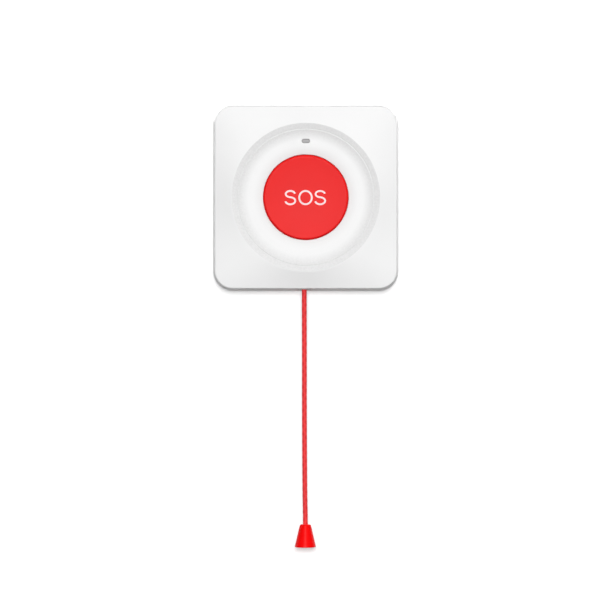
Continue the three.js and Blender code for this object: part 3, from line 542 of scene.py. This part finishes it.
def knotPiece(name, look):
    # a ball whose radius swells twice from top to foot, times furrows that run round it at a slant:
    # radius sqrt(sin(pi t)) (1 - swell + swell cos(4 pi (t - waist))) (1 + furrow cos(2 angle + 2 pi slant t))
    t = np.linspace(0, 1, knotTurns["rows"])[:, None]
    swell = 1 - knotTurns["swell"] + knotTurns["swell"] * np.cos(4 * np.pi * (t - knotTurns["waist"]))
    around = np.linspace(0, 2 * np.pi, knotTurns["columns"], endpoint=False)
    furrow = np.cos(2 * around + 2 * np.pi * knotTurns["slant"] * t)
    lump = look["radius"] * np.sqrt(np.clip(np.sin(np.pi * t), 0, 1)) * swell * (1 + knotTurns["furrow"] * furrow)
    across, middle, depth = look["end"] + (0, look["beyond"], 0)
    height = middle + look["radius"] * np.cos(np.pi * t) + 0 * around
    rings = placed(across + lump * np.cos(around), height, depth + lump * np.sin(around))
    made = madePiece(name, surface(rings), "pull", cordRed, [look["replaced"]], crease=80, even=False)
    # the knot's furrows get the cord's painted shade
    keepRise(made, 0.5 + 0.5 * furrow)
    return made


lowerKnot, upperKnot = (knotPiece(name, look) for name, look in knotLooks.items())


# Grip: a hollow cone that hangs on the knot

gripLook = {"top": -150.9, "height": 10.5, "topRadius": 2.55, "radius": 4.9, "wall": 1.2, "roof": 1.6, "hole": 1.5,
            "topInset": 0.02, "footRise": 0.35, "footInset": 0.12,
            "softness": (0.2, 0.45, 0.3, 0.15, 0.3, 0.2, 0.2), "columns": 120}


def gripRings(look):
    # the outside falls in a straight line from the top's radius to the bottom's; the inside follows it
    bottom = look["top"] - look["height"]
    roof = look["top"] - look["roof"]

    def inner(height):
        share = (look["top"] - height) / look["height"]
        return look["topRadius"] + (look["radius"] - look["topRadius"]) * share - look["wall"]

    profile = [(look["hole"], look["top"]), (look["topRadius"] - look["topInset"], look["top"]),
               (look["radius"], bottom + look["footRise"]), (look["radius"] - look["footInset"], bottom),
               (inner(bottom), bottom), (inner(roof - 1), roof - 1), (look["hole"], roof)]
    rows = softened(profile, look["softness"], closed=True)
    return turnedOnCord(rows, look["columns"], cordFoot[0], cordFoot[2])


cordGrip = madePiece("pull_grip", surface(gripRings(gripLook), True), "pull", plastics["gripRed"],
                     ["cord_grip"])
placed(*line.T).tolist()
print("cord, knots and grip made")


# Front cover: a sunken round dish with the button's hole, a band and a rim, and faces that fall to the square edge

coverLook = {"half": 43, "corner": 9.3, "depth": 24, "wall": 2, "back": 9.3, "draft": 1, "edgeRound": 0.75, "edge": 21,
             "rim": 34.2, "crease": 31.5, "creaseLevel": 23.4, "groove": 0.3, "grooveDepth": 0.1, "ring": 25.8,
             "ringLevel": 22.6, "flankDrop": 0.8, "lipDrop": 0.7, "hole": 19.7, "collar": 20.1, "holeRound": 0.3,
             "grooveRound": 0.12, "fineRound": 0.1, "rimRound": 0.4, "backRound": 0.15, "ringUnder": 2.8,
             "collarWidth": 1.4, "columns": 320, "gather": 0.12}
windowPlace = {"up": 25.9, "length": 3.95, "width": 2.0, "from": 15, "to": 30, "columns": 64}
cordNotch = {"radius": 3.0, "outer": -46.0, "inner": -39.0, "steps": 33}

# directions from the middle, set closer where the corners are
steps = np.linspace(0, 2 * np.pi, coverLook["columns"], endpoint=False)
directions = steps + coverLook["gather"] * np.sin(4 * steps)


def squareReach(inset, look):
    # how far the rounded square lies from the middle in each direction: the straight side where the ray meets it
    # between the corners, and else the corner's circle
    side, radius = look["half"] - inset, look["corner"] - inset
    u, v = np.abs(np.cos(directions)), np.abs(np.sin(directions))
    straight = side / np.maximum(u, v)
    middle = side - radius
    onAxis = middle * (u + v)
    circle = onAxis + np.sqrt(np.maximum(onAxis ** 2 - 2 * middle ** 2 + radius ** 2, 0))
    return np.where(straight * np.minimum(u, v) <= middle, straight, circle)


def ringAt(reach, level):
    # one ring of the cover: the point at reach in each direction
    return placed(reach * np.cos(directions), reach * np.sin(directions), np.full(len(directions), float(level)))


def coverRings(look):
    # rings from the rear of the button's hole over the front, round the square edge and back along the inside.
    # From the ring the lip falls to the hole with the square of the distance, and the flank rises to the groove
    # with the square of the distance. The face is straight from the round rim to the square edge, the edge is a
    # quarter circle, and the side leans by the draft
    rings, soft = [], []

    def add(reach, level, distance=0.0):
        rings.append(ringAt(np.broadcast_to(reach, directions.shape), level))
        soft.append(distance * mm)

    holeLevel = look["ringLevel"] - look["lipDrop"]
    add(look["hole"], look["collar"])
    add(look["hole"], holeLevel, look["holeRound"])
    for t in np.linspace(0.06, 1, 16):
        add(look["hole"] + (look["ring"] - look["hole"]) * t, look["ringLevel"] - look["lipDrop"] * (1 - t) ** 2)
    foot = look["crease"] - look["groove"]
    for t in np.linspace(0, 1, 17)[1:]:
        distance = look["grooveRound"] if t == 1 else 0
        add(look["ring"] + (foot - look["ring"]) * t, look["ringLevel"] + look["flankDrop"] * t ** 2, distance)
    for side in (-1, 1):
        add(look["crease"] + side * look["grooveRound"], look["creaseLevel"] - look["grooveDepth"], look["fineRound"])
    add(look["crease"] + look["groove"], look["creaseLevel"], look["grooveRound"])
    add(look["rim"], look["depth"], look["rimRound"])
    start, end = look["rim"], squareReach(look["draft"] + look["edgeRound"], look)
    for t in np.linspace(0, 1, 9)[1:-1]:
        add(start + (end - start) * t, look["depth"] + (look["edge"] - look["depth"]) * t)
    for turn in np.linspace(0, np.pi / 2, 9):
        inset = look["draft"] + look["edgeRound"] * (1 - np.sin(turn))
        add(squareReach(inset, look), look["edge"] - look["edgeRound"] * (1 - np.cos(turn)))
    for t in (0.02, 0.5, 0.98):
        level = look["edge"] - look["edgeRound"] + (look["back"] - look["edge"] + look["edgeRound"]) * t
        add(squareReach(look["draft"] * (1 - t), look), level)
    add(squareReach(0, look), look["back"], look["backRound"])
    add(squareReach(look["wall"], look), look["back"], look["fineRound"])
    add(squareReach(look["wall"] + look["draft"], look), look["edge"] - look["wall"] - look["edgeRound"])
    add(squareReach(look["wall"] + look["draft"] + look["edgeRound"], look), look["edge"] - look["wall"])
    add(look["rim"] - 1, look["depth"] - look["wall"])
    add(look["crease"], look["creaseLevel"] - look["wall"])
    add(look["ring"], look["ringLevel"] - look["wall"])
    add(look["ring"] - look["ringUnder"], look["ringLevel"] - look["wall"])
    add(look["hole"] + look["collarWidth"], look["collar"])
    return softened(np.stack(rings), soft, closed=True)


def notchRings(look, across, depth):
    # a slot for the cord: half a circle round it, with straight sides down to the wall
    turn = np.linspace(0, np.pi, look["steps"])
    sideways = across + look["radius"] * np.concatenate([[1], np.cos(turn), [-1]])
    outwards = np.concatenate([[0], depth + look["radius"] * np.sin(turn), [0]])
    ends = (look["outer"], look["inner"])
    return np.stack([placed(sideways, np.full(len(sideways), up), outwards) for up in ends])


frontCover = madePiece("dished_cover", surface(coverRings(coverLook), True), "case", plastics["coverWhite"],
                       ["front_cover"])
windowTool = cuttingTool(surface(oblongRings(
    [(windowPlace["length"], windowPlace["width"], windowPlace[end]) for end in ("from", "to")],
    windowPlace["columns"], windowPlace["up"])))
cordTool = cuttingTool(surface(notchRings(cordNotch, cordTop[0], cordTop[2])))
cutAway(frontCover, [windowTool, cordTool])

# Inside of the cover: the sleeves for the case screws, the runners of the slider and the window's frame
sleeveLook = {"reach": 35.2, "bore": 1.55, "radius": 3.2, "low": 6.8, "high": 20.2, "columns": 40}
runnerLook = {"places": (-4.9, 3.5), "half": 0.6, "foot": -34.6, "head": -23.1, "low": 18.6, "high": 21,
              "round": 0.2}
frameLook = {"outside": (9.2, 7.3), "inside": (6.8, 4.9), "low": 19.0, "high": 21.0}


def sleeveSkin(look, x, y):
    # a tube round a screw in the corner that x and y point to
    profile = [(look["bore"], look["low"]), (look["radius"], look["low"]),
               (look["radius"], look["high"]), (look["bore"], look["high"])]
    return surface(turned(profile, look["columns"], x * look["reach"], y * look["reach"]), True)


def runnerSkin(look, x):
    # a bar with a rectangular outline, its corners rounded
    left, right = x - look["half"], x + look["half"]
    outline = softened([(left, look["foot"]), (right, look["foot"]), (right, look["head"]), (left, look["head"])],
                       look["round"], 3, closed=True)
    levels = np.array([[look["low"]], [look["high"]]], dtype=float)
    return surface(placed(outline[None, :, 0], outline[None, :, 1], levels))


def frameSkin(look):
    # an oblong tube
    levels = [(*look["outside"], look["low"]), (*look["outside"], look["high"]),
              (*look["inside"], look["high"]), (*look["inside"], look["low"])]
    return surface(oblongRings(levels, windowPlace["columns"], windowPlace["up"]), True)


sleeves = [sleeveSkin(sleeveLook, x, y) for x, y in ((1, 1), (-1, 1), (-1, -1), (1, -1))]
runners = [runnerSkin(runnerLook, x) for x in runnerLook["places"]]
windowFrame = frameSkin(frameLook)
madePiece("cover_ribs", together(*sleeves, *runners, windowFrame), "case", plastics["coverWhite"])
print("cover made")


# Button: a shallow dish with a rounded edge, a flange behind the collar and a boss over the key

buttonLook = {"radius": 19.4, "level": 22.7, "dish": 0.6, "edge": 0.7, "flange": 20.8, "flangeLevel": 19.8,
              "flangeThickness": 1, "ceiling": 20.3, "wall": 1.8, "cup": 6.2, "cupInside": 5.5, "boss": 2.2,
              "bossTip": 2, "key": 16.45, "columns": 200,
              "softness": (0, 0.1, 0.15, 0.15, 0.15, 0.2, 0.1, 0.1, 0.1, 0.1, 0.1, 0.1, 0)}


def dishLevel(distance, look=buttonLook):
    # the dish is lowest in the middle and rises with the square of the distance from it
    share = np.minimum(distance / (look["radius"] - look["edge"]), 1)
    return look["level"] - look["dish"] * (1 - share ** 2)


def buttonRings(look):
    # the dish, a quarter circle round its edge, and the skirt, flange, spring cup and boss behind it
    flat = look["radius"] - look["edge"]
    across = np.linspace(0.05, 1, 28) * flat
    dish = np.stack([across, dishLevel(across)], axis=-1)
    turn = np.linspace(0, np.pi / 2, 9)[1:]
    outwards, down = look["edge"] * np.sin(turn), look["edge"] * (1 - np.cos(turn))
    edge = np.stack([flat + outwards, look["level"] - down], axis=-1)
    skirt = look["radius"] - look["wall"]
    bottom = look["flangeLevel"] - look["flangeThickness"]
    inside = softened([
        (look["radius"], look["level"] - look["edge"]), (look["radius"], look["flangeLevel"]),
        (look["flange"], look["flangeLevel"]), (look["flange"], bottom), (skirt, bottom), (skirt, look["ceiling"]),
        (look["cup"], look["ceiling"]), (look["cup"], bottom), (look["cupInside"], bottom),
        (look["cupInside"], look["ceiling"]), (look["boss"], look["ceiling"]), (look["bossTip"], look["key"]),
        (0.05, look["key"]),
    ], look["softness"], 3)
    return turned(np.concatenate([dish, edge[:-1], inside]), look["columns"])


madePiece("red_button", surface(buttonRings(buttonLook)), "button", plastics["buttonRed"],
          ["sos_button"])

# Call label on the button: three letters as flat strokes that lie in the dish

# The bends and the ring are ellipses: centre's height, half width, half height, angles from and to, points.
labelLook = {"stroke": 0.83, "proud": 0.04, "sunk": 0.06, "bevel": 0.93, "shoulder": 0.6,
             "centres": (-7.12, -0.12, 6.62), "up": -0.15,
             "upperBend": (1.62, 2.1, 1.42, 8, 262, 48), "lowerBend": (-1.48, 2.25, 1.6, 82, -172, 50),
             "ring": (0, 2.88, 3.06, 0, 360, 97)}


def ellipse(centreUp, wide, high, fromAngle, toAngle, count):
    # part of an ellipse: (wide cos(angle), centreUp + high sin(angle)) from one angle to another
    turn = np.radians(np.linspace(fromAngle, toAngle, count))
    return np.stack([wide * np.cos(turn), centreUp + high * np.sin(turn)], axis=-1)


def strokeRings(path, shift, closed, look):
    # a flat bar along the path: its two sides stand half a stroke off, and its top and foot follow the dish
    path = path + np.array([shift, look["up"]])
    ahead = np.roll(path, -1, axis=0) - np.roll(path, 1, axis=0) if closed else np.gradient(path, axis=0)
    ahead = ahead / np.linalg.norm(ahead, axis=1, keepdims=True)
    aside = np.stack([-ahead[:, 1], ahead[:, 0]], axis=-1) * look["stroke"] / 2
    bevel, proud, sunk = look["bevel"], look["proud"], -look["sunk"]
    shoulder = proud * look["shoulder"]
    offsets = [(1, sunk), (1, shoulder), (bevel, proud), (0, proud), (-bevel, proud), (-1, shoulder), (-1, sunk),
               (0, sunk)]
    rows = []
    for share, rise in offsets:
        spot = path + aside * share
        rows.append(placed(spot[:, 0], spot[:, 1], dishLevel(np.hypot(spot[:, 0], spot[:, 1])) + rise))
    return surface(np.stack(rows, axis=1), closed)


bentStroke = np.concatenate([ellipse(*labelLook["upperBend"]), ellipse(*labelLook["lowerBend"])])
roundStroke = ellipse(*labelLook["ring"])[:-1]
left, middle, right = labelLook["centres"]
madePiece("call_label", together(
    strokeRings(bentStroke, left, False, labelLook),
    strokeRings(roundStroke, middle, True, labelLook),
    strokeRings(bentStroke, right, False, labelLook),
), "button", plastics["labelWhite"], crease=50)

# Light pipe: the window's stem with a flange inside the cover and a low crown, as (length, width, level)
lensLook = {"stem": (3.7, 1.75), "flange": (6.2, 4.3), "foot": 14.3, "flangeLow": 19.1, "flangeHigh": 20.3,
            "shoulder": 22.35,
            "crown": ((3.64, 1.69, 22.46), (3.5, 1.55, 22.52), (2.9, 1.0, 22.55), (2.2, 0.3, 22.56))}
lensRings = [(*lensLook[size], lensLook[level]) for size, level in (
    ("stem", "foot"), ("stem", "flangeLow"), ("flange", "flangeLow"), ("flange", "flangeHigh"),
    ("stem", "flangeHigh"), ("stem", "shoulder"))]
lensSkin = surface(oblongRings([*lensRings, *lensLook["crown"]], windowPlace["columns"], windowPlace["up"]))
madePiece("window_lens", lensSkin, "case", plastics["windowGrey"], ["light_pipe"])

# Bushing that lines the cord's hole
bushingLook = {"radius": 2.7, "hole": 1.5, "outer": -42.35, "mouth": 0.45, "flange": -39.1, "rim": 0.6,
               "thickness": 0.8, "lead": 0.3, "round": 0.15, "columns": 60}


def bushingRings(look):
    # a sleeve round the cord with a flared mouth below, and a flange above
    rim, inside, top = look["radius"] + look["rim"], look["hole"] + look["lead"], look["flange"] + look["thickness"]
    profile = [(look["hole"] + look["mouth"], look["outer"]), (look["radius"], look["outer"]),
               (look["radius"], look["flange"]), (rim, look["flange"]), (rim, top), (inside, top),
               (look["hole"], top - look["lead"]), (look["hole"], look["outer"] + look["mouth"])]
    return turnedOnCord(softened(profile, look["round"], 3, closed=True), look["columns"], cordTop[0], cordTop[2])


madePiece("cord_guide", surface(bushingRings(bushingLook), True), "case", plastics["bushingWhite"],
          ["cord_bushing"])
print("button, label, window and bushing made")


# Pieces whose solid shape is right

polishLook = {"merge": 0.002, "flat": 1, "sharp": 35, "rounded": 50}


def polished(node, name, body, material, edge):
    # a copy of the solid with its flat faces merged and its edges rounded by edge
    mesh = bpy.data.meshes.new(name)
    work = bmesh.new()
    work.from_mesh(frame["nodes"][node].data)
    bmesh.ops.remove_doubles(work, verts=work.verts, dist=polishLook["merge"] * mm)
    bmesh.ops.dissolve_limit(work, angle_limit=math.radians(polishLook["flat"]), verts=work.verts, edges=work.edges)
    work.to_mesh(mesh)
    work.free()
    mesh.shade_smooth()
    mesh.set_sharp_from_angle(angle=math.radians(polishLook["sharp"]))
    mesh.materials.clear()
    mesh.materials.append(material)
    made = bpy.data.objects.new(name, mesh)
    bpy.context.collection.objects.link(made)
    bevel = made.modifiers.new("rounded edges", "BEVEL")
    bevel.width, bevel.segments, bevel.limit_method = edge * mm, 2, "ANGLE"
    bevel.angle_limit = math.radians(polishLook["rounded"])
    bevel.use_clamp_overlap = True
    bevel.miter_outer = "MITER_ARC"
    evenShading(made)
    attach(made, body)
    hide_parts(node)


edgeLook = {"tray": 0.15, "plate": 0.2, "door": 0.15, "screw": 0.08}
polished("back_housing", "tray", "case", plastics["trayWhite"], edgeLook["tray"])
polished("wall_plate", "mounting_plate", "wall_mount", plastics["plateWhite"], edgeLook["plate"])
polished("battery_door", "cell_door", "case", plastics["trayWhite"], edgeLook["door"])
for number in range(1, 5):
    polished(f"case_screw_{number}", f"cross_screw_{number}", "case", metals["zincScrew"], edgeLook["screw"])

# Pieces inside the case keep their solid shape and get finishes
innerLooks = {
    "button_spring": metals["springSteel"], "pull_spring": metals["springSteel"],
    "circuit_board": boards["boardGreen"], "radio_module": boards["moduleGreen"],
    "button_switch": plastics["switchBlack"], "button_switch_plunger": plastics["naturalNylon"],
    "pull_switch": plastics["switchBlack"], "pull_switch_plunger": plastics["plungerRed"],
    "pull_switch_lever": metals["springSteel"], "pull_slider": plastics["naturalNylon"],
    "radio_shield": metals["tinnedShield"], "indicator_led": plastics["lampLens"],
    "bulk_capacitor": plastics["capacitorSleeve"], "battery_holder": plastics["switchBlack"],
    "battery_cell": metals["cellSteel"], "battery_contact_plus": metals["goldContact"],
    "battery_contact_minus": metals["goldContact"],
}
innerLooks.update({f"board_screw_{number}": metals["zincScrew"] for number in range(1, 5)})
for node, material in innerLooks.items():
    data = frame["nodes"][node].data
    if data.materials:
        data.materials[0] = material
    else:
        data.materials.append(material)
print("inner pieces finished")


# Wall and light

stageLook = {"white": 0.86, "bounce": 0.35, "lift": 0.3, "gap": 0.0006, "reach": 1.1}


def stagePlane(name, corners, material):
    # a flat four-cornered part of the stage, which isn't part of the object
    mesh = bpy.data.meshes.new(name)
    mesh.from_pydata(corners, [], [(0, 1, 2, 3)])
    mesh.materials.append(material)
    plane = bpy.data.objects.new(name, mesh)
    bpy.context.collection.objects.link(plane)


def backdrop(name, look):
    # white to the camera, with the object's soft shadow kept, and darker in the light that it throws back;
    # seen from behind, and by lamps, it isn't there
    material, shader, coordinates = startMaterial(name)
    nodes = material.node_tree.nodes
    nodes.remove(shader)
    output = nodes["Material Output"]
    paint = nodes.new("ShaderNodeBsdfDiffuse")
    lift = addNode(material, "ShaderNodeEmission", Color=(1, 1, 1, 1))
    lit, mix = nodes.new("ShaderNodeAddShader"), nodes.new("ShaderNodeMixShader")
    clear = nodes.new("ShaderNodeBsdfTransparent")
    path, geometry = nodes.new("ShaderNodeLightPath"), nodes.new("ShaderNodeNewGeometry")
    seen, amount, hidden = (nodes.new("ShaderNodeMath") for _ in range(3))
    seen.operation, amount.operation, hidden.operation = "MAXIMUM", "MULTIPLY", "MAXIMUM"
    amount.inputs[1].default_value = look["lift"]
    tone = between(material, path.outputs["Is Diffuse Ray"], look["white"], look["bounce"], (0, 1))
    joinNodes(material, (tone, paint.inputs["Color"]),
              (path.outputs["Is Camera Ray"], seen.inputs[0]), (path.outputs["Is Glossy Ray"], seen.inputs[1]),
              (seen.outputs[0], amount.inputs[0]), (amount.outputs[0], lift.inputs["Strength"]),
              (paint.outputs[0], lit.inputs[0]), (lift.outputs[0], lit.inputs[1]),
              (geometry.outputs["Backfacing"], hidden.inputs[0]), (path.outputs["Is Shadow Ray"], hidden.inputs[1]),
              (hidden.outputs[0], mix.inputs[0]), (lit.outputs[0], mix.inputs[1]), (clear.outputs[0], mix.inputs[2]),
              (mix.outputs[0], output.inputs["Surface"]))
    return material


stagePlane("wall", [(across * stageLook["reach"], stageLook["gap"], up * stageLook["reach"])
                    for across, up in ((-1, -1), (1, -1), (1, 1), (-1, 1))], backdrop("wallWhite", stageLook))

lampLooks = {
    "key": {"place": (0.0, -2.0, 0.14), "size": 0.36, "power": 28},
    "top": {"place": (0.75, -0.9, 1.3), "size": 1.4, "power": 6.5},
    "rearLeft": {"place": (-0.8, 1.8, 0.6), "size": 0.9, "power": 19},
    "rearRight": {"place": (0.9, 1.8, 0.6), "size": 0.9, "power": 19},
}
lampAim = Vector((0, -0.012, -0.02))
for name, look in lampLooks.items():
    lamp = bpy.data.lights.new(name, "AREA")
    lamp.shape, lamp.size, lamp.energy = "DISK", look["size"], look["power"]
    lampObject = bpy.data.objects.new(name, lamp)
    bpy.context.collection.objects.link(lampObject)
    lampObject.location = look["place"]
    lampObject.rotation_euler = (lampAim - Vector(look["place"])).to_track_quat("-Z", "Y").to_euler()

# Surroundings: brighter above than below, and white to the camera
worldLook = {"from": -0.4, "to": 0.8, "low": 0.15, "high": 0.36, "seen": 1.0}
world = bpy.data.worlds.new("world")
world.use_nodes = True
bpy.context.scene.world = world
sky = world.node_tree.nodes["Background"]
sky.inputs["Color"].default_value = (1, 1, 1, 1)
skyPath, skySeen, skyRise, skyAxes, skyPlace = (world.node_tree.nodes.new(kind) for kind in (
    "ShaderNodeLightPath", "ShaderNodeMapRange", "ShaderNodeMapRange", "ShaderNodeSeparateXYZ", "ShaderNodeTexCoord"))
for index, key in enumerate(("from", "to", "low", "high")):
    skyRise.inputs[index + 1].default_value = worldLook[key]
skySeen.inputs[4].default_value = worldLook["seen"]
for source, target in ((skyPlace.outputs["Generated"], skyAxes.inputs[0]), (skyAxes.outputs["Z"], skyRise.inputs[0]),
                       (skyRise.outputs[0], skySeen.inputs[3]), (skyPath.outputs["Is Camera Ray"], skySeen.inputs[0]),
                       (skySeen.outputs[0], sky.inputs["Strength"])):
    world.node_tree.links.new(source, target)

bpy.context.scene.view_settings.view_transform = "Standard"
print("stage and light set")
